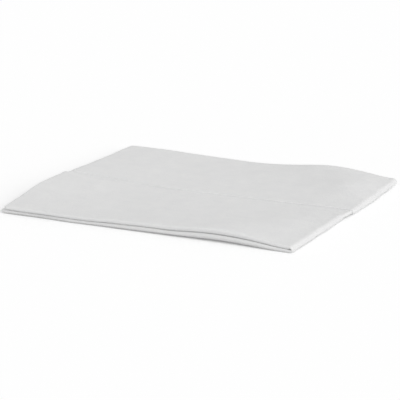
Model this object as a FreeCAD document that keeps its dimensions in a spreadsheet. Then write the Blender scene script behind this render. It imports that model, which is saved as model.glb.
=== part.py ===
import FreeCAD, Part
import os
from math import pi

import Sketcher
from FreeCAD import Placement, Rotation, Vector

# A nonwoven wipe: one sheet of cloth, folded twice.
#
# First the gate fold: both side edges of the flat sheet are folded in until they almost meet on the
# centre line. That leaves a band of two plies, which is the middle panel with a flap on each side.
# Then the cross fold: the band is folded in half along its length with the flaps outwards, so that
# the seam between them runs down the middle of the top and of the underside.
#
# The gate fold is the section sketch, the cross fold is the path sketch, and one pipe carries the
# one along the other. Cloth springs back a little, so each fold is a bulb that stands slightly
# higher than the plies behind it, and one ply slopes from the bulb down to its flat. Both sketches
# are worked out from the flat sheet: its length and width are kept along the middle of its thickness.
#
# Frame: origin under the middle of the wipe on the surface it lies on, +X towards the cross fold,
# +Y across the wipe, +Z up. Millimetres.

NODE = "nonwoven_wipe"

# The driving dimensions: name, value, meaning.
SIZES = (
    ("sheet_length", 350.0, "flat sheet, in the direction that the cross fold halves"),
    ("sheet_width", 300.0, "flat sheet, in the direction that the gate fold halves"),
    ("ply", 0.55, "thickness of the cloth"),
    ("seam_gap", 7.0, "space between the edges of the two flaps"),
    ("flap_gap", 0.15, "clearance between a flap and the middle panel"),
    ("side_puff", 0.2, "height of a side fold above the middle panel"),
    ("side_ease", 8.0, "radius of the slope from a side fold to the middle panel"),
    ("half_gap", 0.15, "clearance between the side folds of the two halves"),
    ("cross_puff", 0.45, "height of the cross fold above the upper half"),
    ("cross_ease", 20.0, "radius of the slope from the cross fold to the upper half"),
)

# The sizes that follow from them: name, expression. A later one may use an earlier one.
# A bulb of radius r turns half a circle and a little more, and a slope of radius e turns that
# little back. The two reach r + e apart, the bulb stands (r + e) * (1 - cos(turn)) above the flat,
# and the slope runs (r + e) * sin(turn) along it.
FOLDED = (
    # The gate fold, along the middle of the cloth's thickness.
    ("side_radius", "(Sizes.ply + Sizes.flap_gap + Sizes.side_puff) / 2"),
    ("side_reach", "Folded.side_radius + Sizes.side_ease"),
    ("side_turn", "acos(1 - Sizes.side_puff / Folded.side_reach) / (1 rad)"),
    ("side_run", "sqrt(Sizes.side_puff * (2 * Folded.side_reach - Sizes.side_puff))"),
    ("side_centre", "(Sizes.sheet_width + Sizes.seam_gap) / 4"
     " + (Folded.side_run - pi * Folded.side_radius - Folded.side_turn * Folded.side_reach) / 2"),
    # The cross fold, along the middle of the middle panel's thickness.
    ("panel_height", "1.5 * Sizes.ply + Sizes.flap_gap"),
    ("half_pitch", "Sizes.ply + 2 * Sizes.side_puff + Sizes.half_gap"),
    ("cross_radius", "(Folded.half_pitch + Sizes.cross_puff) / 2"),
    ("cross_reach", "Folded.cross_radius + Sizes.cross_ease"),
    ("cross_turn", "acos(1 - Sizes.cross_puff / Folded.cross_reach) / (1 rad)"),
    ("cross_run", "sqrt(Sizes.cross_puff * (2 * Folded.cross_reach - Sizes.cross_puff))"),
    ("half_length", "(Sizes.sheet_length + Folded.cross_run - pi * Folded.cross_radius"
     " - Folded.cross_turn * Folded.cross_reach) / 2"),
    ("folded_length", "Folded.half_length + Folded.cross_radius + Folded.panel_height"),
)

# Points of a line or an arc, the origin and the first axis, as sketch constraints number them.
START, END, CENTRE = 1, 2, 3
ORIGIN = (-1, 1)
FIRST_AXIS = -1


def add_sizes(doc):
    """The spreadsheet of driving dimensions, one to a row: name, value, meaning."""
    sheet = doc.addObject("Spreadsheet::Sheet", "Sizes")
    for row, (alias, value, meaning) in enumerate(SIZES, start=1):
        sheet.set(f"A{row}", alias)
        sheet.set(f"B{row}", str(value))
        sheet.set(f"C{row}", meaning)
        sheet.setAlias(f"B{row}", alias)
    doc.recompute()
    return sheet


def add_folded(doc):
    """The sizes that follow from the spreadsheet, as variables bound to its cells."""
    folded = doc.addObject("App::VarSet", "Folded")
    for name, expression in FOLDED:
        folded.addProperty("App::PropertyFloat", name, "Folds")
        folded.setExpression(name, expression)
        doc.recompute()
    return folded


def add_sketch(body, name, role):
    """An empty sketch on the body's own origin plane of that role."""
    sketch = body.newObject("Sketcher::SketchObject", name)
    plane = next(item for item in body.Origin.OriginFeatures if item.Role == role)
    sketch.AttachmentSupport = [(plane, "")]
    sketch.MapMode = "FlatFace"
    return sketch


def add_line(sketch, start, end):
    return sketch.addGeometry(Part.LineSegment(Vector(*start, 0), Vector(*end, 0)), False)


def add_arc(sketch, centre, radius, first, last):
    """An arc that runs anticlockwise from one angle to another, in radians."""
    circle = Part.Circle(Vector(*centre, 0), Vector(0, 0, 1), radius)
    return sketch.addGeometry(Part.ArcOfCircle(circle, first, last), False)


def add_rule(sketch, kind, *where):
    """A constraint with no size, such as Tangent or Horizontal."""
    sketch.addConstraint(Sketcher.Constraint(kind, *where))


def add_size(sketch, name, expression, kind, *where):
    """A dimension, bound to the sheet. The last value given is what it measures as drawn."""
    index = sketch.addConstraint(Sketcher.Constraint(kind, *where))
    sketch.renameConstraint(index, name)
    sketch.setExpression(f"Constraints.{name}", expression)


def add_fold(sketch, side, bulb, slope, turn):
    """A fold's bulb and the slope that leads from it to the flat, tangent to each other.

    bulb and slope are (centre, radius). side is 1 where the fold points along the sketch's first
    axis and -1 where it points the other way: arcs run anticlockwise, so their ends change over.
    Returns the two arcs and which end of each meets a flat.
    """
    quarter = pi / 2
    if side > 0:
        bulb_arc = add_arc(sketch, *bulb, -quarter, quarter + turn)
        slope_arc = add_arc(sketch, *slope, -quarter, -quarter + turn)
        flat_end, joint_end = START, END
    else:
        bulb_arc = add_arc(sketch, *bulb, quarter - turn, 3 * quarter)
        slope_arc = add_arc(sketch, *slope, -quarter - turn, -quarter)
        flat_end, joint_end = END, START
    add_rule(sketch, "Tangent", bulb_arc, joint_end, slope_arc, joint_end)
    return bulb_arc, slope_arc, flat_end


def add_cloth_face(sketch, side, face, sizes, folded):
    """One face of the cloth on one side of the section: a flap, its fold and the slope after it.

    side is 1 towards +Y and -1 towards -Y. face is 1 for the face that goes round the outside of
    the fold and -1 for the one on its inside.
    """
    offset = face * sizes.ply / 2
    flap_z = sizes.ply / 2 - offset
    bulb_y = side * folded.side_centre
    slope_y = side * (folded.side_centre - folded.side_run)
    bulb = ((bulb_y, sizes.ply / 2 + folded.side_radius), folded.side_radius + offset)
    slope = ((slope_y, folded.panel_height + sizes.side_ease), sizes.side_ease - offset)
    flap = add_line(sketch, (side * sizes.seam_gap / 2, flap_z), (bulb_y, flap_z))
    bulb_arc, slope_arc, flat_end = add_fold(sketch, side, bulb, slope, folded.side_turn)
    add_rule(sketch, "Horizontal", flap)
    add_rule(sketch, "Tangent", flap, END, bulb_arc, flat_end)
    return flap, bulb_arc, slope_arc, flat_end


def add_flap_edge(sketch, side, tag, outer_flap, inner_flap, sizes):
    """The cut edge of a flap, which sets the cloth's thickness and half of the seam."""
    edge_y = side * sizes.seam_gap / 2
    edge = add_line(sketch, (edge_y, 0), (edge_y, sizes.ply))
    add_rule(sketch, "Vertical", edge)
    add_rule(sketch, "Coincident", edge, START, outer_flap, START)
    add_rule(sketch, "Coincident", edge, END, inner_flap, START)
    add_rule(sketch, "PointOnObject", outer_flap, START, FIRST_AXIS)
    add_size(sketch, f"{tag}_ply", "Sizes.ply", "DistanceY", edge, START, edge, END, sizes.ply)
    half_seam = (*ORIGIN, edge, START) if side > 0 else (edge, START, *ORIGIN)
    add_size(sketch, f"{tag}_half_seam", "Sizes.seam_gap / 2", "DistanceX", *half_seam,
             sizes.seam_gap / 2)


def add_side(sketch, side, sizes, folded):
    """One side of the section: both faces of the cloth, one ply apart, and the flap's cut edge."""
    tag = "back" if side > 0 else "front"
    outer = add_cloth_face(sketch, side, 1, sizes, folded)
    inner = add_cloth_face(sketch, side, -1, sizes, folded)
    outer_flap, outer_bulb, outer_slope, _ = outer
    inner_flap, inner_bulb, inner_slope, _ = inner
    add_flap_edge(sketch, side, tag, outer_flap, inner_flap, sizes)
    add_rule(sketch, "Coincident", outer_bulb, CENTRE, inner_bulb, CENTRE)
    add_rule(sketch, "Coincident", outer_slope, CENTRE, inner_slope, CENTRE)
    add_size(sketch, f"{tag}_bulb", "Folded.side_radius - Sizes.ply / 2", "Radius", inner_bulb,
             folded.side_radius - sizes.ply / 2)
    add_size(sketch, f"{tag}_slope", "Sizes.side_ease + Sizes.ply / 2", "Radius", inner_slope,
             sizes.side_ease + sizes.ply / 2)
    reach = (*ORIGIN, inner_bulb, CENTRE) if side > 0 else (inner_bulb, CENTRE, *ORIGIN)
    add_size(sketch, f"{tag}_centre", "Folded.side_centre", "DistanceX", *reach,
             folded.side_centre)
    return outer, inner


def add_panel_face(sketch, back, front, offset, folded):
    """One face of the middle panel, between the slopes of the back and the front."""
    panel_y = folded.side_centre - folded.side_run
    panel_z = folded.panel_height + offset
    panel = add_line(sketch, (-panel_y, panel_z), (panel_y, panel_z))
    for end, (_, _, slope_arc, flat_end) in ((START, front), (END, back)):
        add_rule(sketch, "Tangent", panel, end, slope_arc, flat_end)
    return panel


def add_section(body, sizes, folded):
    """The gate fold: the closed outline of the folded cloth, in the plane across the wipe."""
    sketch = add_sketch(body, "gate_fold_section", "YZ_Plane")
    back_outer, back_inner = add_side(sketch, 1, sizes, folded)
    front_outer, front_inner = add_side(sketch, -1, sizes, folded)
    add_panel_face(sketch, back_outer, front_outer, sizes.ply / 2, folded)
    panel = add_panel_face(sketch, back_inner, front_inner, -sizes.ply / 2, folded)
    add_rule(sketch, "Horizontal", panel)
    flap, _, _, _ = back_inner
    add_size(sketch, "flap_gap", "Sizes.flap_gap", "DistanceY", flap, END, panel, END,
             sizes.flap_gap)
    sketch.setExpression("AttachmentOffset.Base.z", "-Folded.folded_length / 2")
    return sketch


def add_path(body, sizes, folded):
    """The cross fold: the line of the middle panel, from the open end round the fold and back."""
    sketch = add_sketch(body, "cross_fold_path", "XZ_Plane")
    open_x = -folded.folded_length / 2
    fold_x = open_x + folded.half_length
    slope_x = fold_x - folded.cross_run
    lower_z = folded.panel_height
    upper_z = lower_z + folded.half_pitch
    lower = add_line(sketch, (open_x, lower_z), (fold_x, lower_z))
    upper = add_line(sketch, (slope_x, upper_z), (open_x, upper_z))
    bulb = ((fold_x, lower_z + folded.cross_radius), folded.cross_radius)
    slope = ((slope_x, upper_z + sizes.cross_ease), sizes.cross_ease)
    bulb_arc, slope_arc, flat_end = add_fold(sketch, 1, bulb, slope, folded.cross_turn)
    add_rule(sketch, "Horizontal", lower)
    add_rule(sketch, "Horizontal", upper)
    add_rule(sketch, "Vertical", lower, START, upper, END)
    add_rule(sketch, "Tangent", lower, END, bulb_arc, flat_end)
    add_rule(sketch, "Tangent", upper, START, slope_arc, flat_end)
    add_size(sketch, "bulb", "Folded.cross_radius", "Radius", bulb_arc, folded.cross_radius)
    add_size(sketch, "slope", "Sizes.cross_ease", "Radius", slope_arc, sizes.cross_ease)
    add_size(sketch, "half_length", "Folded.half_length", "DistanceX", lower, START, lower, END,
             folded.half_length)
    add_size(sketch, "half_pitch", "Folded.half_pitch", "DistanceY", lower, START, upper, END,
             folded.half_pitch)
    add_size(sketch, "panel_height", "Folded.panel_height", "DistanceY", *ORIGIN, lower, START,
             lower_z)
    add_size(sketch, "open_end", "Folded.folded_length / 2", "DistanceX", lower, START, *ORIGIN,
             -open_x)
    return sketch


def add_wipe(doc, sizes, folded):
    """The sheet: its gate folded section, carried along the path of the cross fold."""
    body = doc.addObject("PartDesign::Body", NODE)
    body.Label = NODE
    body.Placement = Placement(Vector(0, 0, 0), Rotation())
    section = add_section(body, sizes, folded)
    path = add_path(body, sizes, folded)
    doc.recompute()
    pipe = body.newObject("PartDesign::AdditivePipe", "folded_sheet")
    pipe.Profile = section
    pipe.Spine = (path, [])
    doc.recompute()
    return body, section, path


def check(doc, bodies):
    """Stops if anything in the document failed to build."""
    for item in doc.Objects:
        if {"Invalid", "Error"} & set(item.State):
            raise RuntimeError(f"{item.Name} did not build: {item.State}")
    for body in bodies:
        if body.Shape.isNull() or not body.Shape.isValid():
            raise RuntimeError(f"{body.Label} has no valid shape")


def swept_volume(section, path):
    """The volume that the pipe should have: its section's area times its centre of area's way.

    The centre lies outside the path, so its way is longer by that distance times the net turn,
    which is half a circle, because the slope turns back what the bulb turns too far.
    """
    face = Part.Face(section.Shape.Wires[0])
    outside = path.Shape.BoundBox.ZMin - face.CenterOfMass.z
    return face.Area * (path.Shape.Length + pi * outside)


def main():
    doc = FreeCAD.newDocument(NODE)
    sizes = add_sizes(doc)
    folded = add_folded(doc)
    body, section, path = add_wipe(doc, sizes, folded)
    check(doc, [body])
    box = body.Shape.optimalBoundingBox(False, False)
    print(f"folded {box.XLength:.2f} x {box.YLength:.2f} x {box.ZLength:.2f} mm")
    print(f"section area {Part.Face(section.Shape.Wires[0]).Area:.3f} mm2,"
          f" sheet width times ply {sizes.sheet_width * sizes.ply:.3f} mm2")
    print(f"volume {body.Shape.Volume:.1f} mm3,"
          f" section times length {swept_volume(section, path):.1f} mm3")
    os.makedirs("parts", exist_ok=True)
    body.Shape.exportStep(f"parts/{body.Label}.step")


main()
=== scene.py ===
from math import acos, asin, atan2, cos, pi, radians, sin, sqrt
from types import SimpleNamespace

import bmesh
import bpy
import numpy as np
from bpy.props import FloatProperty, FloatVectorProperty, IntProperty, PointerProperty
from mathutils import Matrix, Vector


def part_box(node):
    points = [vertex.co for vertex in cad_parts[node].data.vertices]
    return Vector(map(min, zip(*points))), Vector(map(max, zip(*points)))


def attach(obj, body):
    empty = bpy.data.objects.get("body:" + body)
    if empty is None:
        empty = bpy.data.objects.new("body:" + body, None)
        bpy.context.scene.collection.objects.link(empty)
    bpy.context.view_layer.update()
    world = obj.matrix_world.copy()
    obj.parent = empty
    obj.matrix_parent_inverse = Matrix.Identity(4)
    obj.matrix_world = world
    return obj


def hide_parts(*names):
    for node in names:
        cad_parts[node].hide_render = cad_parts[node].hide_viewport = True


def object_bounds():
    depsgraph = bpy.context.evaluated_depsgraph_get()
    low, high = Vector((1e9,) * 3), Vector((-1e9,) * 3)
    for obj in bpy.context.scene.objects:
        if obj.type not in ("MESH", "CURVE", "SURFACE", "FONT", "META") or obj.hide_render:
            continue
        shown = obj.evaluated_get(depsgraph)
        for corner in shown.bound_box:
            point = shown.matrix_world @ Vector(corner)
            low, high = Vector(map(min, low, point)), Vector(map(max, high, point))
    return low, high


# A nonwoven wipe, folded twice: first both side edges in to the middle, which makes two flaps and
# a middle panel, then the band in half across, with the flaps outside. It lies on the floor, as it
# comes to rest, with the cross fold towards +X and the open end, with its four cut edges, at -X.
#
# The cloth is one surface over the flat sheet. Its middle surface is folded by formula, then air is
# let in between the plies and the folds are let waver, and last it gets its thickness.

bl_info = {
    "name": "Nonwoven wipe",
    "version": (1, 0, 0),
    "blender": (4, 5, 0),
    "location": "3D View > Sidebar > Wipe",
    "description": "A twice folded nonwoven wipe, made round its packed frame, and a plain stage",
    "category": "Object",
}

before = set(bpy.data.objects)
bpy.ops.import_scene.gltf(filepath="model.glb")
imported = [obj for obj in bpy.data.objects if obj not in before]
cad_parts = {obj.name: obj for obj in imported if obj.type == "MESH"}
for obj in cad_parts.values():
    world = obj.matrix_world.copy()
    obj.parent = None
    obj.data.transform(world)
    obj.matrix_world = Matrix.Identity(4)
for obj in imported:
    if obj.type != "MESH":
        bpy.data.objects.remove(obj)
CAD_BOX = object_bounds()

NODE = "nonwoven_wipe"
PIECE = "folded_wipe"
MM = 0.001
UV_MAP = "OFBake"        # the map from which the cloth's nodes read the flat sheet; an export keeps the map that has this name
FRONT, BACK = -1, 1      # the side of the seam, along Y


def length(name, description, default):
    """A size in metres."""
    return FloatProperty(name=name, description=description, default=default, min=0.0,
                         unit="LENGTH", subtype="DISTANCE", precision=5)


def share(name, description, default, top=1.0):
    """A number with no unit."""
    return FloatProperty(name=name, description=description, default=default, min=0.0, max=top)


def colour(name, description, default):
    """A colour, in linear light."""
    return FloatVectorProperty(name=name, description=description, default=default, size=3,
                               min=0.0, max=1.0, subtype="COLOR")


def angle(name, description, default):
    """An angle, whose default is given in degrees."""
    return FloatProperty(name=name, description=description, default=radians(default),
                         unit="ROTATION", subtype="ANGLE")


class WipeSheet(bpy.types.PropertyGroup):
    """The flat sheet and its two folds, the same as in the packed model"""
    sheet_length: length("Sheet length", "The way that the cross fold halves", 350 * MM)
    sheet_width: length("Sheet width", "The way that the gate fold halves", 300 * MM)
    ply: length("Ply", "Thickness of the cloth", 0.55 * MM)
    seam_gap: length("Seam gap", "Space between the edges of the two flaps", 7 * MM)
    flap_gap: length("Flap gap", "Clearance between a flap and the panel", 0.15 * MM)
    side_puff: length("Side puff", "Height of a side fold above the panel", 0.2 * MM)
    side_ease: length("Side ease", "Radius of the slope behind a side fold", 8 * MM)
    half_gap: length("Half gap", "Clearance between the two halves", 0.15 * MM)
    cross_puff: length("Cross puff", "Height of the cross fold above its half", 0.45 * MM)
    cross_ease: length("Cross ease", "Radius of the slope behind the cross fold", 20 * MM)


class WipeLie(bpy.types.PropertyGroup):
    """How the folded cloth lies, apart from its even shape"""
    seed: IntProperty(name="Seed", description="Picks the waves", default=11, min=0)
    puff: share("Puff", "Height of the waves, as a share", 1.0, 2.0)
    lifted: share("Lifted", "The share of a wave by which the wipe leaves the floor", 0.3)
    filled: share("Filled", "The share of the air at the sides that the side folds fill", 0.96)
    hollow_filled: share("Hollow filled", "Their share of the hollow by the cross fold", 0.85)
    touch: length("Touch", "Clearance between the side folds of the halves", 0.06 * MM)
    ripple: length("Ripple", "Height of the small swells in the cloth", 0.16 * MM)
    fold_lean: length("Fold lean", "How far one side fold gives way to the other", 0.2 * MM)
    flap_puff: length("Flap puff", "Air under the middle of an upper flap", 0.25 * MM)
    flap_press: length("Flap press", "How far a flap's edge is pressed to the panel", 0.115 * MM)
    flap_lift: length("Flap lift", "How far the front flap's corner stands up", 1.3 * MM)
    seam_waver: length("Seam waver", "How far the flap edges stray from straight", 0.8 * MM)
    fold_waver: length("Fold waver", "How far the folds stray from straight", 0.4 * MM)
    fold_bow: length("Fold bow", "How far the cross fold bows out", 1.9 * MM)
    half_shift: length("Half shift", "How far the upper half lies off the lower one", 0.9 * MM)
    half_short: length("Half short", "How far the upper half ends short of the lower", 2.4 * MM)
    flap_skew: length("Flap skew", "How far a flap's end lies off the panel's", 0.7 * MM)
    corner_round: length("Corner round", "How far the corners by the fold draw in", 0.3 * MM)
    seam_drift: length("Seam drift", "How far off the middle the seam ends", 4.2 * MM)
    notch: length("Notch", "How far the front flap's edge draws back at its ends", 4.5 * MM)
    pucker: length("Pucker", "Height of the puckers at the cross fold", 0.2 * MM)
    rim: length("Rim", "How far a cut edge thins out at the open end", 1.4 * MM)
    rim_at_fold: length("Rim at fold", "How far it thins out at the cross fold", 0.3 * MM)


class WipeFinish(bpy.types.PropertyGroup):
    """The cloth's colour and surface"""
    light: colour("Light", "Colour of the thicker places", (0.83, 0.83, 0.825))
    shade: colour("Shade", "Colour of the thinner places", (0.785, 0.787, 0.79))
    roughness: share("Roughness", "Roughness where the fibres lie thick and loose", 0.95)
    roughness_thin: share("Roughness, thin", "Roughness where they lie thin and pressed", 0.82)
    sheen: share("Sheen", "Glow of the loose fibres at a low angle", 0.1)
    glow: share("Glow", "The share of the light that goes through the fibres", 0.2)
    glow_depth: length("Glow depth", "How far the light goes through the fibres", 0.5 * MM)
    cloud_size: length("Cloud size", "Distance between thicker places", 9 * MM)
    grain_size: length("Grain size", "Distance between small thicker places", 1.4 * MM)
    fibre_size: length("Fibre size", "Distance between strands of fibre", 0.22 * MM)
    streak_pitch: length("Streak pitch", "Distance between the faint lengthwise streaks", 0.9 * MM)
    relief: length("Relief", "Height of the fibres in the surface", 0.14 * MM)


class WipeStage(bpy.types.PropertyGroup):
    """Floor, light and camera"""
    floor: colour("Floor", "Colour that the floor shows", (0.97, 0.97, 0.97))
    floor_bounce: colour("Floor bounce", "Colour that the floor lights the wipe with",
                         (0.86, 0.86, 0.86))
    floor_lift: share("Floor lift", "Brightness added to the floor for the camera alone", 0.17)
    sky: share("Sky", "Strength of the even light from all round", 0.66)
    key_strength: share("Key light", "Strength of the soft lamp", 1.3, 20.0)
    key_azimuth: angle("Key azimuth", "Where the lamp stands, from -Y towards +X", 65.0)
    key_height: angle("Key height", "How high the lamp stands over the floor", 27.0)
    key_spread: angle("Key spread", "How wide the lamp is, seen from the wipe", 40.0)
    azimuth: angle("Azimuth", "Where the camera stands, from -Y towards +X", 25.7)
    elevation: angle("Elevation", "How high the camera stands over the floor", 15.5)
    distance: length("Distance", "From the wipe to the camera", 1.19)
    lens: FloatProperty(name="Lens", description="Focal length", default=188.0, min=10.0,
                        unit="CAMERA")


SETTINGS = (("wipe_sheet", WipeSheet), ("wipe_lie", WipeLie), ("wipe_finish", WipeFinish),
            ("wipe_stage", WipeStage))


# The even folded shape -----------------------------------------------------------------------


def gate_fold(sheet, puff):
    """A side fold that stands puff over the panel: its radius, its turn and the flap's straight.

    A fold is a bulb, which turns half a circle and a little more, and an ease, which turns that
    little back, so that both straights beside it are level. The flap's straight, the bulb, the
    ease and the panel's straight as far as the middle line are together half the sheet's width,
    along the middle of its thickness.
    """
    radius = (sheet.ply + sheet.flap_gap + puff) / 2
    reach = radius + sheet.side_ease
    turn = np.arccos(1 - puff / reach)
    centre = ((sheet.sheet_width + sheet.seam_gap) / 4
              + (reach * np.sin(turn) - pi * radius - turn * reach) / 2)
    return radius, turn, centre - sheet.seam_gap / 2


def folded_sizes(sheet):
    """The sizes of the even shape, by the same sums as in the packed model.

    The lower panel lies on a flap, so its middle is one and a half plies and the flap's gap over
    the floor. The cross fold is a bulb and an ease too, and both halves end at the same place.
    """
    side_radius, _, flap_run = gate_fold(sheet, sheet.side_puff)
    panel_height = 1.5 * sheet.ply + sheet.flap_gap
    half_pitch = sheet.ply + 2 * sheet.side_puff + sheet.half_gap
    cross_radius = (half_pitch + sheet.cross_puff) / 2
    cross_reach = cross_radius + sheet.cross_ease
    cross_turn = acos(1 - sheet.cross_puff / cross_reach)
    half_length = (sheet.sheet_length + cross_reach * sin(cross_turn) - pi * cross_radius
                   - cross_turn * cross_reach) / 2
    folded_length = half_length + cross_radius + panel_height
    return SimpleNamespace(
        cross_radius=cross_radius, cross_turn=cross_turn, panel_height=panel_height,
        half_length=half_length, nose=folded_length / 2, open_end=-folded_length / 2,
        side=float(flap_run) + (sheet.seam_gap + sheet.ply) / 2 + side_radius)


def fold_line(way, straight, radius, ease, turn):
    """A line folded back on itself, at each distance given in way along it.

    It runs straight, bends half a circle and the turn more at the radius, bends that turn back at
    the ease's radius, and runs straight the other way. On a bend the angle bent is the distance
    over the radius, and the place moves by the radius times the change of its sine and cosine.
    Returns the place along the first straight, the place across it, and the heading.
    """
    bulb_way = radius * (pi + turn)
    ease_way = ease * turn
    first = np.minimum(way, straight)
    bulb = np.clip(way - straight, 0, bulb_way) / radius
    slope = np.clip(way - straight - bulb_way, 0, ease_way) / ease
    last = np.maximum(way - straight - bulb_way - ease_way, 0)
    along = first + radius * np.sin(bulb) - ease * (np.sin(turn) - np.sin(turn - slope)) - last
    across = radius * (1 - np.cos(bulb)) - ease * (np.cos(turn - slope) - np.cos(turn))
    return along, across, bulb - slope


def spaced(*stretches):
    """Distances from 0 on, evenly spaced within each stretch: (where it ends, its steps).

    A stretch may end at many places, one to a row, and the distances then lie one row to each.
    """
    runs, start = [], 0.0
    for end, steps in stretches:
        runs.append(np.linspace(start, end, steps, endpoint=False, axis=-1))
        start = end
    runs.append(np.asarray(start)[..., None] if np.ndim(start) else np.array([start]))
    rows = max(np.shape(run)[:-1] for run in runs)
    return np.concatenate([np.broadcast_to(run, rows + run.shape[-1:]) for run in runs], axis=-1)


def rows_along(sheet, sizes):
    """Where the grid's rows lie along the sheet: close at the ends and at the cross fold.

    They are close as far as by_end from an end, closer as far as near_fold from the cross fold's
    bulb, and closest as far as by_fold from it.
    """
    by_end, near_fold, by_fold = 8 * MM, 14 * MM, 3 * MM
    fold = sizes.half_length
    bulb = fold + sizes.cross_radius * (pi + sizes.cross_turn)
    return spaced((by_end, 6), (fold - near_fold, 76), (fold - by_fold, 9), (fold, 9), (bulb, 22),
                  (bulb + by_fold, 8), (bulb + near_fold, 9), (sheet.sheet_length - by_end, 74),
                  (sheet.sheet_length, 6))


def columns_across(sheet, puff, drift):
    """Where the grid's columns lie from the front edge, row by row: close at the side folds.

    They are close as far as by_edge from a cut edge and from the panel's middle, and as far as
    by_fold before a bulb. Row by row the seam lies off the middle by drift, towards the front, so
    the front flap is that much narrower and the back one that much wider.
    """
    by_edge, by_fold = 12 * MM, 8 * MM
    halves = []
    for side in (FRONT, BACK):
        radius, turn, flap_run = gate_fold(sheet, puff[side])
        flap_run = flap_run + side * drift
        bulb = flap_run + radius * (pi + turn)
        ease = bulb + sheet.side_ease * turn
        middle = sheet.sheet_width / 2 + side * drift
        edge = np.full_like(middle, by_edge)
        halves.append(spaced((edge, 11), (flap_run - by_fold, 20), (flap_run, 8), (bulb, 18),
                             (ease, 5), (middle - by_edge, 22), (middle, 12)))
    front, back = halves
    return np.concatenate([front, sheet.sheet_width - back[:, -2::-1]], axis=1)


# How the cloth lies --------------------------------------------------------------------------


# The waves that the wipe keeps: height, place along X and Y, reach along X and Y, in millimetres.
MOUNDS = (
    (4.4, (-96, -6), (50, 64)),     # the open end gapes in its middle
    (1.8, (-94, -42), (34, 24)),    # and more at the front
    (4.2, (47, 86), (26, 36)),      # an arch in the back edge, near the cross fold
    (3.6, (48, -84), (27, 38)),     # a lower one in the front edge
    (2.2, (6, -80), (46, 46)),      # and a long low one beside it
    (1.3, (-70, 84), (36, 34)),     # a low one in the back edge, near the open end
    (1.4, (68, -38), (15, 24)),     # ridges from which the cloth falls to the cross fold
    (3.0, (70, 44), (17, 24)),
    (-1.2, (94, 44), (12, 22)),     # and a dip in the fold itself
    (0.6, (0, 30), (70, 40)),       # both sides of the seam are slightly crowned
    (0.6, (0, -30), (70, 40)),
)

# Each random line or surface: its wavelength, and what the seed goes up by for it.
WAVES = {
    "between halves": (34 * MM, 0),
    "under panel": (28 * MM, 1),
    "under flaps": (26 * MM, 2),
    "flap edges": (48 * MM, 3),
    "under wipe": (70 * MM, 4),
    "lower front fold": (55 * MM, 10),
    "lower back fold": (65 * MM, 11),
    "upper front fold": (55 * MM, 12),
    "upper back fold": (65 * MM, 13),
    "cross fold": (50 * MM, 14),
    "cut ends": (7 * MM, 20),
    "front seam": (90 * MM, 21),
    "back seam": (75 * MM, 22),
    "puckers": (9 * MM, 23),
    "front lean": (36 * MM, 39),
    "back lean": (36 * MM, 41),
}
# A line is the sum of so many sines, whose wavelengths are these shares of the one above.
LINE_SINES, LINE_RANGE = 5, (0.6, 1.7)
SURFACE_SINES, SURFACE_RANGE = 9, (0.7, 1.6)       # and so is a surface

# How far these reach, from the fold, the end or the corner that they start at.
CORNER_REACH = 9 * MM           # the pressed corners by the cross fold
SWELL_REACH = 5 * MM            # the lower swells by the cross fold
LEVEL_REACH = 25 * MM           # the upper half's sinking from the top of the cross fold
EVEN_REACH = 1.5 * MM           # the end of the air in the side folds, by the cross fold
CALM_FROM, CALM_TO = 22 * MM, 4 * MM               # the end of the air inside a half, there too
LIFT_REACH = 16 * MM            # the front flap's corner that stands up
FRAY_REACH = 4 * MM             # the uneven line of the cut ends
WIDE_BY_FOLD, WIDE_BY_END = 16 * MM, 22 * MM       # the wider seam, at each of its ends
PUCKER_REACH = 9 * MM           # the puckers and the looser flaps round the cross fold
BOW_MIDDLE, BOW_REACH = 28 * MM, 30 * MM           # the cross fold's bow: its place along Y

# How high these are.
OFF_FLOOR = 0.1 * MM            # the swells under the wipe
EDGE_LIFT = 0.02 * MM           # the flaps' edges, where they come off the panel
FRAY = 0.12 * MM                # the uneven line of the cut ends

# How strong these are, as a share of the setting or of the air that they go with.
SWELL_DROP = 0.8                # what the swells lose at the cross fold
CORNER_PRESS = 0.85             # what is pressed out of the air at a corner
CORNER_ACROSS = 0.8             # how far a corner draws in along Y, beside how far along X
LEAN_ROOM = 0.4                 # the most of the air that one side fold gives to the other
PANEL_RIPPLE = 0.5              # how much of the ripple is under a lower panel
FLAP_RIPPLE = 0.6               # by how much the air under a flap swells
FRONT_SKEW, BACK_SKEW = 0.9, -0.6                  # how far the flaps' ends lie off the panel's
FRONT_NOTCH, BACK_NOTCH = -1, 0.3                  # how far the flaps' edges draw back along Y
NOTCH_BY_END = 0.45             # how far they do at the open end, beside how far at the fold
PRESS_EASED = 0.3               # what the flaps' press loses round the cross fold

LEAVES_FLOOR = (0.5, 1.5)       # between these headings, in radians, a flap comes off the floor
PUCKER_BAND = (0.02, 0.15)      # over this part of a flap, from the side fold, the puckers begin
PUCKER_POWER = 6                # the power by which they end towards the flap's edge


def smooth_step(value, low, high):
    """0 below low, 1 above high, and between them 3 t squared less 2 t cubed."""
    t = np.clip((value - low) / (high - low), 0, 1)
    return t * t * (3 - 2 * t)


def waves(along, name, lie):
    """A wavering line, about -1 to 1: the sum of a few sines of about the wavelength in WAVES.

    The sum is divided by the square root of twice their number.
    """
    wavelength, step = WAVES[name]
    draw = np.random.default_rng(lie.seed + step)
    lengths = wavelength * draw.uniform(*LINE_RANGE, LINE_SINES)
    starts = draw.uniform(0, 2 * pi, LINE_SINES)
    return np.sin(along[..., None] * 2 * pi / lengths + starts).sum(-1) / sqrt(2 * LINE_SINES)


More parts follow.
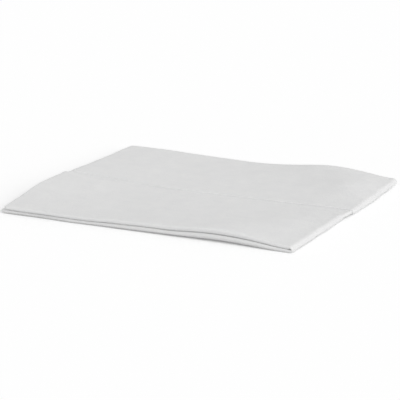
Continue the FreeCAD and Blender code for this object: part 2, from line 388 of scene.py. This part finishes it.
def swells(x, y, name, lie):
    """A rippled surface, about -1 to 1: the sum of sines that run in random directions.

    It is divided as in a line.
    """
    wavelength, step = WAVES[name]
    draw = np.random.default_rng(lie.seed + step)
    lengths = wavelength * draw.uniform(*SURFACE_RANGE, SURFACE_SINES)
    ways = draw.uniform(0, 2 * pi, SURFACE_SINES)
    starts = draw.uniform(0, 2 * pi, SURFACE_SINES)
    run = x[..., None] * np.cos(ways) + y[..., None] * np.sin(ways)
    return np.sin(run * 2 * pi / lengths + starts).sum(-1) / sqrt(2 * SURFACE_SINES)


def relief(x, y, lie):
    """How far the top stands over the even shape: the sum of mounds and dips, each a bell curve."""
    mounds = sum(height * np.exp(-((x / MM - at[0]) / reach[0]) ** 2
                                 - ((y / MM - at[1]) / reach[1]) ** 2)
                 for height, at, reach in MOUNDS)
    return lie.puff * mounds * MM


def near_cross_fold(x, sizes):
    """0 as far as the middle of the length, then rising by a square to 1 at the cross fold."""
    return np.clip(x / sizes.nose, 0, 1) ** 2


def at_corner(x, y, sizes):
    """1 at the two corners by the cross fold, and less away from them, by an exponential."""
    return np.exp(-(sizes.nose - x) / CORNER_REACH - (sizes.side - abs(y)) / CORNER_REACH)


def hollow_by_fold(run, sheet, sizes):
    """How much of the cross fold's puff the even shape has at each place along the first half.

    It is 0 as far as the ease, and rises over the ease's length by a square.
    """
    slope = (sizes.cross_radius + sheet.cross_ease) * sin(sizes.cross_turn)
    return np.clip(1 - (sizes.half_length - run) / slope, 0, 1) ** 2


def air_between_halves(x, y, sheet, sizes, lie):
    """How far the halves lie apart: their share of the waves, and swells, lower at the fold.

    The upper half comes off the cross fold level, and sinks to its even height by an exponential.
    The corners by the cross fold are pressed.
    """
    to_nose = sizes.nose - x
    kept = 1 - SWELL_DROP * np.exp(-to_nose / SWELL_REACH)
    small = lie.ripple * kept * (1 + swells(x, y, "between halves", lie))
    level = (sheet.cross_puff * np.exp(-to_nose / LEVEL_REACH)
             * (1 - hollow_by_fold(x - sizes.open_end, sheet, sizes)))
    waves_share = (1 - lie.lifted) * relief(x, y, lie)
    return (waves_share + small) * (1 - CORNER_PRESS * at_corner(x, y, sizes)) + level


def from_fold(x, upper, sizes):
    """0 in the lower half and at the cross fold, and from there evenly up to 1 at the open end."""
    return upper * (sizes.nose - x) / (2 * sizes.nose)


def side_puffs(along, side, sheet, sizes, lie):
    """How far a side fold stands over the panel, at each row.

    The folds of the two halves share the space between the panels and fill most of it, half each,
    and most of the hollow that the cross fold's puff makes. Where one is lower, by a wavering
    line, the other is higher. Round the cross fold they are even.
    """
    run, _, heading = fold_line(along, sizes.half_length, sizes.cross_radius, sheet.cross_ease,
                                sizes.cross_turn)
    upper = heading > pi / 2
    x = run + sizes.open_end
    x = x + lie.half_short * from_fold(x, upper, sizes)
    air = air_between_halves(x, np.full_like(x, side * sizes.side), sheet, sizes, lie)
    wave = waves(x, "front lean" if side == FRONT else "back lean", lie)
    lean = np.minimum(lie.fold_lean, LEAN_ROOM * air) * wave
    hollow = sheet.cross_puff * hollow_by_fold(run, sheet, sizes)
    apart = 1 - smooth_step(run, sizes.half_length - EVEN_REACH, sizes.half_length)
    shared = sheet.half_gap - lie.touch + lie.filled * air
    return (sheet.side_puff + 0.5 * lie.hollow_filled * hollow
            + apart * (0.5 * shared + np.where(upper, -lean, lean)))


def air_in_halves(x, y, flap, front, sizes, lie):
    """The air under the wipe, under its lower panel and under its upper flaps.

    Under the wipe it is a share of the waves, and shallow swells. Under the panel it is swells. An
    upper flap lies on the panel along its cut edge and is soft behind it, by a parabola. At the
    open end the front flap's corner by the seam stands up, by an exponential along the sheet and a
    cube across it. The air under panel and flaps ends by the cross fold, by a smooth step.
    """
    calm = 1 - smooth_step(x, sizes.nose - CALM_FROM, sizes.nose - CALM_TO)
    off_floor = OFF_FLOOR * np.clip(swells(x, y, "under wipe", lie), 0, 1)
    under_wipe = lie.lifted * relief(x, y, lie) + off_floor
    under_panel = PANEL_RIPPLE * lie.ripple * calm * (1 + swells(x, y, "under panel", lie))
    uneven = 1 + FLAP_RIPPLE * swells(x, y, "under flaps", lie)
    soft = lie.flap_puff * uneven * 4 * flap * (1 - flap)
    lift = lie.flap_lift * front * np.exp(-(x - sizes.open_end) / LIFT_REACH)
    edge = EDGE_LIFT * np.maximum(waves(x, "flap edges", lie), 0)
    over_panel = calm * (soft + (lift + edge) * flap ** 3)
    return under_wipe, under_panel, over_panel


def let_waver(x, y, upper, sizes, lie):
    """The places moved sideways a little, each half by its own waves, most at the folds.

    The waves of the front and the back fold go over into each other by a smooth step, and grow
    with the square of the way from the seam. The upper half's open end is shifted and drawn back,
    and the corners by the cross fold draw in.
    """
    back = smooth_step(y, -sizes.side, sizes.side)
    outer = (y / sizes.side) ** 2
    away = from_fold(x, upper, sizes)

    def fold_wave(half):
        front_fold = waves(x, half + " front fold", lie)
        back_fold = waves(x, half + " back fold", lie)
        return front_fold + (back_fold - front_fold) * back

    lower_wave = fold_wave("lower")
    upper_wave = fold_wave("upper")
    wave = lower_wave + (upper_wave - lower_wave) * upper
    cross_wave = waves(y, "cross fold", lie) * near_cross_fold(x, sizes)
    corner = at_corner(x, y, sizes)
    new_x = x + lie.fold_waver * cross_wave + lie.half_short * away - lie.corner_round * corner
    new_y = (y + lie.fold_waver * wave * outer - lie.half_shift * away
             - CORNER_ACROSS * lie.corner_round * corner * np.sign(y))
    return new_x, new_y


def slid_along(along, across, flap, front, sheet, lie):
    """The distance along the sheet at which each point goes round the cross fold.

    The flaps go round the outside, so their ends draw in evenly from the middle, and they lie a
    little off the panel's. The cut ends are uneven, by an exponential of the way to them.
    """
    middle = sheet.sheet_length / 2
    drawn_in = pi * (sheet.ply + sheet.flap_gap) / sheet.sheet_length
    skew = lie.flap_skew * np.where(front, FRONT_SKEW, BACK_SKEW)
    to_end = np.minimum(along, sheet.sheet_length - along)
    frayed = FRAY * waves(across, "cut ends", lie) * np.exp(-to_end / FRAY_REACH)
    return middle + (along - middle) * (1 - drawn_in * flap) + skew * flap + frayed


def strayed_edges(along, run, flap, front, sizes, lie):
    """How far the flaps stray along Y, most at their edges.

    The edges waver, and draw back from each other at both ends of the seam, by an exponential of
    the way to each.
    """
    seam_wave = np.where(front, waves(along, "front seam", lie), waves(along, "back seam", lie))
    to_fold = 2 * sizes.nose - run
    wider = np.exp(-to_fold / WIDE_BY_FOLD) + NOTCH_BY_END * np.exp(-run / WIDE_BY_END)
    notch = lie.notch * wider * np.where(front, FRONT_NOTCH, BACK_NOTCH)
    return flap * (lie.seam_waver * seam_wave + notch)


def pressed_flaps(outside, y, flap, run, heading, sizes, lie):
    """How far each point lies outside the middle panel, with the flaps pressed and puckered.

    Off the floor the flaps' edges are pressed to the panel, by the cube of the way from the side
    fold, and less round the cross fold, where they pucker between the side fold and the edge.
    """
    off_floor = smooth_step(heading, *LEAVES_FLOOR)
    at_fold = off_floor * np.exp(-((run - 2 * sizes.nose) / PUCKER_REACH) ** 2)
    pucker = np.clip(0.5 + 0.5 * waves(y, "puckers", lie), 0, 1)
    between = smooth_step(flap, *PUCKER_BAND) * (1 - flap ** PUCKER_POWER)
    puckered = outside + lie.pucker * pucker * at_fold * between
    return puckered - lie.flap_press * off_floor * (1 - PRESS_EASED * at_fold) * flap ** 3


def lying_cloth(along, across, puff, drift, sheet, sizes, lie):
    """The middle surface of the cloth as it lies, on the grid of the flat sheet.

    Across the sheet the cloth goes from a flap's edge out to the side fold and back under the
    flap. Along it, each point keeps its distance from the middle panel, square to the panel, while
    the panel goes along the floor, round the cross fold and back. Then the folds waver, each ply
    rises by the air under it, and the cross fold bows out by a bell curve along Y.

    flap is 0 at a side fold and 1 at the flap's cut edge, on_flap is 0 on the panel and 1 on a
    flap, and upper is 0 in the lower half and 1 in the upper one.
    """
    along = along[:, None]
    drift = drift[:, None]
    front = np.arange(across.shape[1]) <= across.shape[1] // 2
    side = np.where(front, FRONT, BACK)
    way_in = np.where(front, across, sheet.sheet_width - across)
    radius, turn, flap_run = gate_fold(sheet, np.where(front, puff[FRONT][:, None],
                                                       puff[BACK][:, None]))
    flap_run = flap_run + side * drift
    out, inwards, _ = fold_line(way_in, flap_run, radius, sheet.side_ease, turn)
    outside = sheet.ply + sheet.flap_gap - inwards
    flap = np.clip(1 - way_in / flap_run, 0, 1)
    on_flap = smooth_step(outside, 0, sheet.ply + sheet.flap_gap)

    slid = slid_along(along, across, flap, front, sheet, lie)
    run, rise, heading = fold_line(slid, sizes.half_length, sizes.cross_radius,
                                   sheet.cross_ease, sizes.cross_turn)
    upper = smooth_step(rise, 0, 2 * sizes.cross_radius - sheet.cross_puff)
    y = side * (sheet.seam_gap / 2 + out) - drift
    y += strayed_edges(along, run, flap, front, sizes, lie)
    outside = pressed_flaps(outside, y, flap, run, heading, sizes, lie)
    x = run + sizes.open_end + outside * np.sin(heading)
    z = sizes.panel_height + rise - outside * np.cos(heading)

    x, y = let_waver(x, y, upper, sizes, lie)
    under_wipe, under_panel, over_panel = air_in_halves(x, y, flap, front, sizes, lie)
    z += under_wipe + under_panel * (upper + (1 - upper) * (1 - on_flap))
    z += upper * (air_between_halves(x, y, sheet, sizes, lie) + over_panel * on_flap)
    bow = lie.fold_bow * np.exp(-((y - BOW_MIDDLE) / BOW_REACH) ** 2)
    x += bow * near_cross_fold(x, sizes)
    return np.stack([x, y, z], axis=-1)


# The mesh ------------------------------------------------------------------------------------


RIM_STEPS = 3                  # faces round a cut edge
SHARPEST = radians(60)         # a sharper edge isn't shaded round
MERGED = 1e-4 * MM             # points nearer than this become one


def unit(vectors):
    """Each vector over its length."""
    return vectors / np.linalg.norm(vectors, axis=-1, keepdims=True)


def ways_along(points):
    """The way that the lines of points run, at each: its steps in and out, the shorter the more."""
    steps = np.diff(points, axis=0)
    sizes = np.linalg.norm(steps, axis=-1, keepdims=True)
    ways = steps / sizes
    between = ways[:-1] * sizes[1:] + ways[1:] * sizes[:-1]
    return unit(np.concatenate([ways[:1], between, ways[-1:]]))


def thickened(middle, along, across, thickness, rims):
    """Closed rings round the cloth, one for each row of the grid, and their distances.

    Each point of the middle surface goes half the thickness to both sides, square to the surface.
    A cut edge is pressed thin: its outer face goes down to the inner face in a quarter of an
    ellipse, of the sine and cosine of an angle, over the row's own distance in rims. Past the
    first and the last row, further rings thin out the same way.
    Returns the rings, and for each of their points the distance along the sheet and round it.
    """
    by_along = ways_along(middle)
    by_across = ways_along(middle.swapaxes(0, 1)).swapaxes(0, 1)
    normal = unit(np.cross(by_along, by_across))
    turns = np.linspace(0, pi / 2, RIM_STEPS + 1)[1:]
    full = np.concatenate([np.cos(turns[::-1]), np.ones(len(along)), np.cos(turns)])
    row = np.clip(np.arange(len(full)) - RIM_STEPS, 0, len(along) - 1)
    rim = rims[row][:, None]
    past_end = np.concatenate([-np.sin(turns[::-1]), np.zeros(len(along)), np.sin(turns)])
    reach = rim[:, 0] * past_end
    inner = (middle - thickness / 2 * normal)[row] + reach[:, None, None] * by_along[row]
    rise = thickness * full[:, None, None] * normal[row]
    out = (rim * full[:, None])[..., None] * by_across[row]
    up, away = np.cos(turns)[:, None], np.sin(turns)[:, None]
    last_rim = inner[:, -1:] + up * rise[:, -1:] + away * out[:, -1:]
    first_rim = (inner[:, :1] + up * rise[:, :1] - away * out[:, :1])[:, ::-1]
    rings = np.concatenate([inner + rise, last_rim, inner[:, ::-1], first_rim], axis=1)
    rim_ways = rim * away[:, 0]
    ways = across[row]
    width = across[0, -1]
    round_way = np.concatenate([ways, width + rim_ways, 2 * (width + rim) - ways[:, ::-1],
                                2 * (width + rim) + rim_ways, 2 * (width + 2 * rim)], axis=1)
    along_way = np.broadcast_to((along[row] + reach)[:, None], round_way.shape)
    return rings, along_way, round_way


def closed_mesh(name, rings, along_way, round_way):
    """A mesh of closed rings, joined one to the next, with the distances as its map.

    The map's two ways are the distance along the sheet and the distance round both its faces, each
    as a share of the whole. The end rings, which have shrunk to a line, are merged with themselves.
    """
    lines, points = rings.shape[:2]
    mesh = bpy.data.meshes.new(name)
    row, column = np.meshgrid(np.arange(lines - 1), np.arange(points), indexing="ij")
    corners = ((0, 0), (1, 0), (1, 1), (0, 1))
    faces = np.stack([(row + i) * points + (column + j) % points for i, j in corners], axis=-1)
    mesh.from_pydata(rings.reshape(-1, 3), [], faces.reshape(-1, 4).tolist())
    lengthwise = (along_way - along_way.min()) / np.ptp(along_way)
    crosswise = round_way / round_way.max()
    spots = np.stack([np.stack([lengthwise[row + i, column + j], crosswise[row + i, column + j]],
                               axis=-1) for i, j in corners], axis=-2)
    uv_map = mesh.uv_layers.new(name=UV_MAP)
    uv_map.uv.foreach_set("vector", spots.astype(np.float32).ravel())
    solid = bmesh.new()
    solid.from_mesh(mesh)
    bmesh.ops.remove_doubles(solid, verts=solid.verts, dist=MERGED)
    solid.to_mesh(mesh)
    solid.free()
    mesh.polygons.foreach_set("use_smooth", np.ones(len(mesh.polygons), bool))
    mesh.set_sharp_from_angle(angle=SHARPEST)
    mesh.update()
    return mesh


def wipe_mesh(sheet, lie, sizes):
    """The mesh of the wipe as it lies, and the longest way round both its faces.

    The seam is in the middle at the cross fold, and the further from there along the sheet, the
    further it drifts off, and the further in the cut edges thin out, both evenly. The lowest point
    is on the floor.
    """
    along = rows_along(sheet, sizes)
    from_middle = 2 * along / sheet.sheet_length - 1
    puff = {side: side_puffs(along, side, sheet, sizes, lie) for side in (FRONT, BACK)}
    drift = lie.seam_drift * from_middle
    across = columns_across(sheet, puff, drift)
    middle = lying_cloth(along, across, puff, drift, sheet, sizes, lie)
    rims = lie.rim_at_fold + (lie.rim - lie.rim_at_fold) * abs(from_middle)
    rings, along_way, round_way = thickened(middle, along, across, sheet.ply, rims)
    rings[..., 2] -= rings[..., 2].min()
    return closed_mesh(PIECE, rings, along_way, round_way), round_way.max()


# Materials -----------------------------------------------------------------------------------


MIX_FIRST, MIX_SECOND, MIX_RESULT = 6, 7, 2        # a Mix node's sockets for colours

NOISE_ROUGHNESS = 0.55                 # how strong the finer parts of every pattern are
FIBRE_LAY = (0.3, 1.0, 1.0)            # the strands are drawn out along the sheet,
STREAK_LAY = (0.06, 1.0, 1.0)          # and the streaks far more
GRAIN_THICKNESS, STREAK_THICKNESS = 0.6, 0.25              # in the thickness, beside clouds of 1
THICKNESS_RANGE = {"From_Min": 0.62, "From_Max": 1.23}     # from the thinnest to the thickest
GRAIN_RELIEF, STREAK_RELIEF, CLOUD_RELIEF = 1.6, 0.8, 2.0  # in the relief, beside fibres of 1


def new_material(name):
    """An empty material, its tree and its output node."""
    material = bpy.data.materials.new(name)
    material.use_nodes = True
    tree = material.node_tree
    tree.nodes.clear()
    return material, tree, tree.nodes.new("ShaderNodeOutputMaterial")


def add_node(tree, kind, **settings):
    """A node of that kind. Settings are its own, or the values of its inputs by name."""
    node = tree.nodes.new("ShaderNode" + kind)
    for name, value in settings.items():
        if hasattr(node, name):
            setattr(node, name, value)
        else:
            node.inputs[name.replace("_", " ")].default_value = value
    return node


def cloth_material(finish, sheet, round_length):
    """White nonwoven cloth: cloudy where the fibres lie thicker, with a fine felted relief.

    Four patterns of noise lie on the sheet: clouds, grain, strands of fibre and lengthwise
    streaks. A sum of clouds, grain and streaks is the thickness, which gives the colour and the
    roughness. A sum of all four is the relief.
    """
    material, tree, output = new_material("nonwoven_cloth")
    link = tree.links.new
    flat_map = add_node(tree, "UVMap", uv_map=UV_MAP)
    metres = add_node(tree, "Mapping", Scale=(sheet.sheet_length, round_length, 1.0))
    link(flat_map.outputs["UV"], metres.inputs["Vector"])

    def noise(size, detail, lay=(1.0, 1.0, 1.0)):
        """Noise of that size in metres, drawn out where lay is under 1."""
        scaled = add_node(tree, "Mapping", Scale=[part / size for part in lay])
        link(metres.outputs["Vector"], scaled.inputs["Vector"])
        pattern = add_node(tree, "TexNoise", Scale=1.0, Detail=detail, Roughness=NOISE_ROUGHNESS)
        link(scaled.outputs["Vector"], pattern.inputs["Vector"])
        return pattern.outputs["Fac"]

    def total(first, second, weight):
        """first plus weight times second."""
        added = add_node(tree, "Math", operation="MULTIPLY_ADD")
        added.inputs[1].default_value = weight
        link(second, added.inputs[0])
        link(first, added.inputs[2])
        return added.outputs["Value"]

    cloud = noise(finish.cloud_size, detail=3.0)
    grain = noise(finish.grain_size, detail=2.0)
    fibre = noise(finish.fibre_size, detail=3.0, lay=FIBRE_LAY)
    streak = noise(finish.streak_pitch, detail=1.0, lay=STREAK_LAY)

    thickness = total(total(cloud, grain, GRAIN_THICKNESS), streak, STREAK_THICKNESS)
    spread = add_node(tree, "MapRange", **THICKNESS_RANGE)
    link(thickness, spread.inputs["Value"])
    tint = add_node(tree, "Mix", data_type="RGBA")
    tint.inputs[MIX_FIRST].default_value = (*finish.shade, 1.0)
    tint.inputs[MIX_SECOND].default_value = (*finish.light, 1.0)
    link(spread.outputs["Result"], tint.inputs["Factor"])

    matt = add_node(tree, "MapRange", **THICKNESS_RANGE, To_Min=finish.roughness_thin,
                    To_Max=finish.roughness)
    link(thickness, matt.inputs["Value"])

    height = total(fibre, grain, GRAIN_RELIEF)
    height = total(total(height, streak, STREAK_RELIEF), cloud, CLOUD_RELIEF)
    relief_bump = add_node(tree, "Bump", Strength=1.0, Distance=finish.relief)
    link(height, relief_bump.inputs["Height"])

    shader = add_node(tree, "BsdfPrincipled", Sheen_Weight=finish.sheen, Sheen_Roughness=0.65,
                      Specular_IOR_Level=0.3, Subsurface_Weight=finish.glow,
                      Subsurface_Scale=finish.glow_depth)
    shader.inputs["Subsurface Radius"].default_value = (1.0, 1.0, 1.0)
    link(tint.outputs[MIX_RESULT], shader.inputs["Base Color"])
    link(matt.outputs["Result"], shader.inputs["Roughness"])
    link(relief_bump.outputs["Normal"], shader.inputs["Normal"])
    link(shader.outputs["BSDF"], output.inputs["Surface"])
    return material


def seen_directly(tree):
    """1 for what the camera sees, straight or in gloss or through glass, and 0 for other light."""
    path = add_node(tree, "LightPath")
    seen = path.outputs["Is Camera Ray"]
    for name in ("Is Glossy Ray", "Is Transmission Ray"):
        most = add_node(tree, "Math", operation="MAXIMUM")
        tree.links.new(seen, most.inputs[0])
        tree.links.new(path.outputs[name], most.inputs[1])
        seen = most.outputs["Value"]
    return seen


def floor_material(stage):
    """A matt pale floor, which shows lighter to the camera than it lights the wipe."""
    material, tree, output = new_material("pale_floor")
    link = tree.links.new
    seen = seen_directly(tree)
    tint = add_node(tree, "Mix", data_type="RGBA")
    tint.inputs[MIX_FIRST].default_value = (*stage.floor_bounce, 1.0)
    tint.inputs[MIX_SECOND].default_value = (*stage.floor, 1.0)
    link(seen, tint.inputs["Factor"])
    matt = add_node(tree, "BsdfDiffuse")
    link(tint.outputs[MIX_RESULT], matt.inputs["Color"])
    lift = add_node(tree, "Math", operation="MULTIPLY")
    lift.inputs[1].default_value = stage.floor_lift
    link(seen, lift.inputs[0])
    glow = add_node(tree, "Emission")
    link(lift.outputs["Value"], glow.inputs["Strength"])
    both = add_node(tree, "AddShader")
    link(matt.outputs["BSDF"], both.inputs[0])
    link(glow.outputs["Emission"], both.inputs[1])
    link(both.outputs["Shader"], output.inputs["Surface"])
    return material


# Stage ---------------------------------------------------------------------------------------


FLOOR_REACH = 20.0             # from the middle of the floor to its sides
LAMP_DISTANCE = 2.0            # for show, because a sun lamp's light doesn't depend on it


def place_round(centre, azimuth, elevation, distance):
    """The point at that distance from the centre, turned from -Y towards +X and then up."""
    level = cos(elevation)
    way = Vector((sin(azimuth) * level, -cos(azimuth) * level, sin(elevation)))
    return centre + way * distance


def add_object(name, data):
    """An object at the origin with that data, in the scene's own collection."""
    made = bpy.data.objects.new(name, data)
    bpy.context.scene.collection.objects.link(made)
    return made


def add_floor(stage):
    """A level square with the pale floor's material."""
    far = FLOOR_REACH
    mesh = bpy.data.meshes.new("floor")
    corners = ((-far, -far, 0), (far, -far, 0), (far, far, 0), (-far, far, 0))
    mesh.from_pydata(corners, [], [(0, 1, 2, 3)])
    mesh.materials.append(floor_material(stage))
    floor = add_object("floor", mesh)


def add_light(stage, centre):
    """Even light from all round, which the camera sees as white, and one soft lamp."""
    world = bpy.data.worlds.new("studio")
    bpy.context.scene.world = world
    world.use_nodes = True
    tree = world.node_tree
    tree.nodes.clear()
    around = add_node(tree, "Background")
    strength = add_node(tree, "MapRange", To_Min=stage.sky, To_Max=1.0)
    tree.links.new(seen_directly(tree), strength.inputs["Value"])
    tree.links.new(strength.outputs["Result"], around.inputs["Strength"])
    around.inputs["Color"].default_value = (1.0, 1.0, 1.0, 1.0)
    output = add_node(tree, "OutputWorld")
    tree.links.new(around.outputs["Background"], output.inputs["Surface"])

    lamp = bpy.data.lights.new("key_light", "SUN")
    lamp.energy = stage.key_strength
    lamp.angle = stage.key_spread
    key = add_object("key_light", lamp)
    key.location = place_round(centre, stage.key_azimuth, stage.key_height, LAMP_DISTANCE)
    key.rotation_euler = (centre - key.location).to_track_quat("-Z", "Y").to_euler()


def add_camera(stage, low, high):
    """A camera that looks at the middle of the outline that the box between low and high shows.

    It looks halfway between the outermost bearings of the box's corners, and halfway between the
    outermost slopes to them.
    """
    centre = (low + high) / 2
    eye = place_round(centre, stage.azimuth, stage.elevation, stage.distance)
    corners = [Vector((x, y, z)) for x in (low.x, high.x) for y in (low.y, high.y)
               for z in (low.z, high.z)]
    ways = [(corner - eye).normalized() for corner in corners]
    bearings = [atan2(way.x, way.y) for way in ways]
    slopes = [asin(way.z) for way in ways]
    bearing = (min(bearings) + max(bearings)) / 2
    slope = (min(slopes) + max(slopes)) / 2
    look = Vector((sin(bearing) * cos(slope), cos(bearing) * cos(slope), sin(slope)))
    data = bpy.data.cameras.new("camera")
    data.lens = stage.lens
    camera = add_object("camera", data)
    camera.location = eye
    camera.rotation_euler = look.to_track_quat("-Z", "Y").to_euler()
    bpy.context.scene.camera = camera


# Operators and panel -------------------------------------------------------------------------


SIZE_SLACK = 0.5 * MM          # how far the even shape may be from the packed node's length


class OBJECT_OT_add_folded_wipe(bpy.types.Operator):
    """Add the folded wipe in the place of its packed node"""
    bl_idname = "object.add_folded_wipe"
    bl_label = "Add Folded Wipe"

    def execute(self, context):
        scene = context.scene
        sheet = scene.wipe_sheet
        sizes = folded_sizes(sheet)
        low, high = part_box(NODE)
        if abs(high.x - low.x - 2 * sizes.nose) > SIZE_SLACK:
            raise RuntimeError("the sheet's sizes don't fold to the length of the packed node")
        mesh, round_length = wipe_mesh(sheet, scene.wipe_lie, sizes)
        mesh.materials.append(cloth_material(scene.wipe_finish, sheet, round_length))
        wipe = add_object(PIECE, mesh)
        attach(wipe, "root")
        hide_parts(NODE)
        return {"FINISHED"}


class SCENE_OT_add_wipe_stage(bpy.types.Operator):
    """Add the floor, the light and the camera"""
    bl_idname = "scene.add_wipe_stage"
    bl_label = "Add Stage"

    def execute(self, context):
        scene = context.scene
        scene.view_settings.view_transform = "Standard"
        low, high = CAD_BOX
        add_floor(scene.wipe_stage)
        add_light(scene.wipe_stage, (low + high) / 2)
        add_camera(scene.wipe_stage, low, high)
        return {"FINISHED"}


class VIEW3D_PT_wipe(bpy.types.Panel):
    """The wipe's sizes and the buttons that make it"""
    bl_label = "Nonwoven Wipe"
    bl_idname = "VIEW3D_PT_wipe"
    bl_space_type = "VIEW_3D"
    bl_region_type = "UI"
    bl_category = "Wipe"

    def draw(self, context):
        for name, group in SETTINGS:
            box = self.layout.box()
            box.label(text=group.__doc__)
            for setting in group.__annotations__:
                box.prop(getattr(context.scene, name), setting)
        self.layout.operator(OBJECT_OT_add_folded_wipe.bl_idname)
        self.layout.operator(SCENE_OT_add_wipe_stage.bl_idname)


CLASSES = (WipeSheet, WipeLie, WipeFinish, WipeStage, OBJECT_OT_add_folded_wipe,
           SCENE_OT_add_wipe_stage, VIEW3D_PT_wipe)


def register():
    """Registers the classes and gives every scene their settings."""
    for item in CLASSES:
        bpy.utils.register_class(item)
    for name, group in SETTINGS:
        setattr(bpy.types.Scene, name, PointerProperty(type=group))


def unregister():
    """Takes the settings and the classes away again, in the opposite order."""
    for name, _ in reversed(SETTINGS):
        delattr(bpy.types.Scene, name)
    for item in reversed(CLASSES):
        bpy.utils.unregister_class(item)


def main():
    """Makes the wipe and its stage."""
    register()
    bpy.ops.object.add_folded_wipe()
    bpy.ops.scene.add_wipe_stage()


if __name__ == "__main__":
    main()
